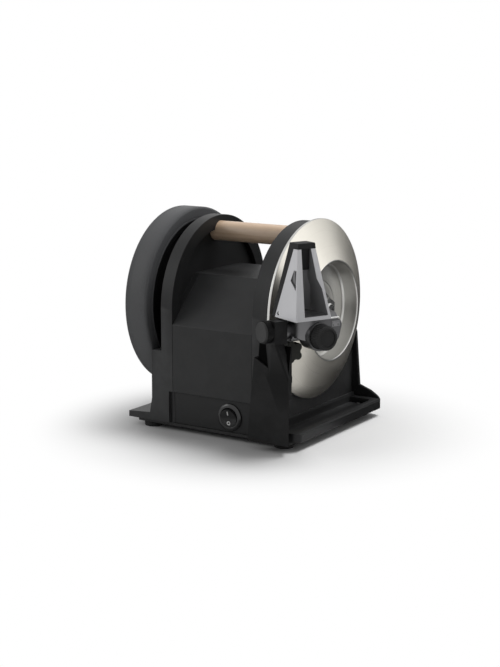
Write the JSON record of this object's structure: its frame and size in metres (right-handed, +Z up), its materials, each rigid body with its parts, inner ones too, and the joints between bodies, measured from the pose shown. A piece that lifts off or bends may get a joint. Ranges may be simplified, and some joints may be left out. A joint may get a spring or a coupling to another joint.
{
  "type": "bench knife sharpener",
  "caption": "Bench sharpener: conical grinding wheel and honing wheel on a geared motor spindle, carrying bar, and a sliding, tilting knife guide with an angle knob.",
  "frame": {"origin": "middle of the whole machine's outline, on the bench", "axes": "+X from the honing wheel to the grinding wheel, +Y to the back, +Z up; the switch faces -Y"},
  "size_m": [0.1998, 0.1764, 0.1807],
  "materials": {
    "black_casting": "fine satin black powder coat",
    "black_cover": "fine satin black powder coat",
    "sheet_steel": "zinc plated sheet",
    "foot_rubber": "matt",
    "screw_steel": "zinc plated",
    "bearing_steel": "ground",
    "ash_wood": "oiled, fine grain along the bar",
    "motor_iron": "laminated",
    "white_plastic": "moulded",
    "gear_nylon": "moulded",
    "switch_plastic": "moulded, with plain marks for on and off",
    "black_plastic": "moulded, fine texture",
    "grinding_steel": "turned disc with a fine abrasive coating",
    "hone_compound": "dark grey honing composite",
    "guide_zinc": "satin die casting",
    "scale_alu": "satin, with plain degree figures",
    "pad_rubber": "smooth soft pad",
    "knob_plastic": "moulded, ribbed for grip"
  },
  "bodies": {
    "frame": {"left_frame": "black_casting", "right_frame": "black_casting", "dust_tray": "black_casting", "front_cover": "black_cover", "rear_cover": "black_cover", "floor_plate": "sheet_steel", "foot_front_left": "foot_rubber", "foot_front_right": "foot_rubber", "foot_rear_left": "foot_rubber", "foot_rear_right": "foot_rubber", "foot_screws": "screw_steel", "cover_screws": "screw_steel", "handle_bar": "ash_wood", "handle_screws": "screw_steel", "bearing_left": "bearing_steel", "bearing_right": "bearing_steel", "motor_can": "sheet_steel", "motor_stator": "motor_iron", "gear_plate": "sheet_steel", "gear_posts": "screw_steel", "idler_pin": "bearing_steel", "capacitor": "white_plastic", "capacitor_clip": "sheet_steel", "terminal_block": "white_plastic", "switch_housing": "switch_plastic", "cord_gland": "black_plastic", "gland_nut": "black_plastic", "guide_post": "black_plastic", "guide_rod": "bearing_steel", "rod_cap": "black_plastic", "post_screws": "screw_steel"},
    "spindle": {"main_shaft": "bearing_steel", "drive_gear": "gear_nylon", "wheel_flange": "screw_steel", "diamond_wheel": "grinding_steel", "wheel_washer": "screw_steel", "wheel_nut": "screw_steel", "hone_flange": "screw_steel", "honing_hub": "black_plastic", "honing_band": "hone_compound", "hone_washer": "screw_steel", "hone_nut": "screw_steel"},
    "idler": {"idler_gear": "bearing_steel"},
    "rotor": {"motor_shaft": "bearing_steel", "motor_rotor": "motor_iron", "motor_pinion": "bearing_steel", "motor_fan": "black_plastic"},
    "rocker": {"switch_rocker": "switch_plastic"},
    "arm": {"guide_arm": "guide_zinc", "star_lug": "guide_zinc", "scale_plate": "scale_alu", "tilt_pin": "bearing_steel"},
    "star": {"star_knob": "knob_plastic", "star_screw": "screw_steel"},
    "guide": {"guide_frame": "guide_zinc", "guide_pad": "pad_rubber"},
    "knob": {"angle_knob": "knob_plastic", "angle_cam": "bearing_steel"}
  },
  "joints": [
    {"name": "spindle_spin", "type": "hinge", "parent": "frame", "child": "spindle", "pos_m": [-0.01607, 0.01051, 0.103], "axis": [1, 0, 0], "continuous": true},
    {"name": "idler_spin", "type": "hinge", "parent": "frame", "child": "idler", "pos_m": [-0.01607, 0.02697, 0.08035], "axis": [1, 0, 0], "continuous": true},
    {"name": "motor_spin", "type": "hinge", "parent": "frame", "child": "rotor", "pos_m": [-0.01607, 0.03822, 0.06086], "axis": [1, 0, 0], "continuous": true},
    {"name": "switch_tip", "type": "hinge", "parent": "frame", "child": "rocker", "pos_m": [0.00173, -0.06009, 0.0196], "axis": [-1, 0, 0], "range_deg": [0, 20]},
    {"name": "arm_slide", "type": "slide", "parent": "frame", "child": "arm", "axis": [0.4311, 0.9023, 0], "range_m": [0, 0.012]},
    {"name": "star_turn", "type": "hinge", "parent": "arm", "child": "star", "pos_m": [0.05486, -0.05533, 0.0806], "axis": [0.9023, -0.4311, 0], "range_deg": [0, 270]},
    {"name": "guide_tilt", "type": "hinge", "parent": "arm", "child": "guide", "pos_m": [0.05356, -0.06966, 0.1125], "axis": [-0.4311, -0.9023, 0], "range_deg": [0, 12]},
    {"name": "knob_turn", "type": "hinge", "parent": "arm", "child": "knob", "pos_m": [0.08504, -0.05944, 0.096], "axis": [0.9023, -0.4311, 0], "range_deg": [0, 270]}
  ],
  "couplings": [
    {"joint": "idler_spin", "follows": "spindle_spin", "ratio": -2.5},
    {"joint": "motor_spin", "follows": "spindle_spin", "ratio": 10},
    {"joint": "knob_turn", "follows": "guide_tilt", "ratio": 22.5}
  ]
}
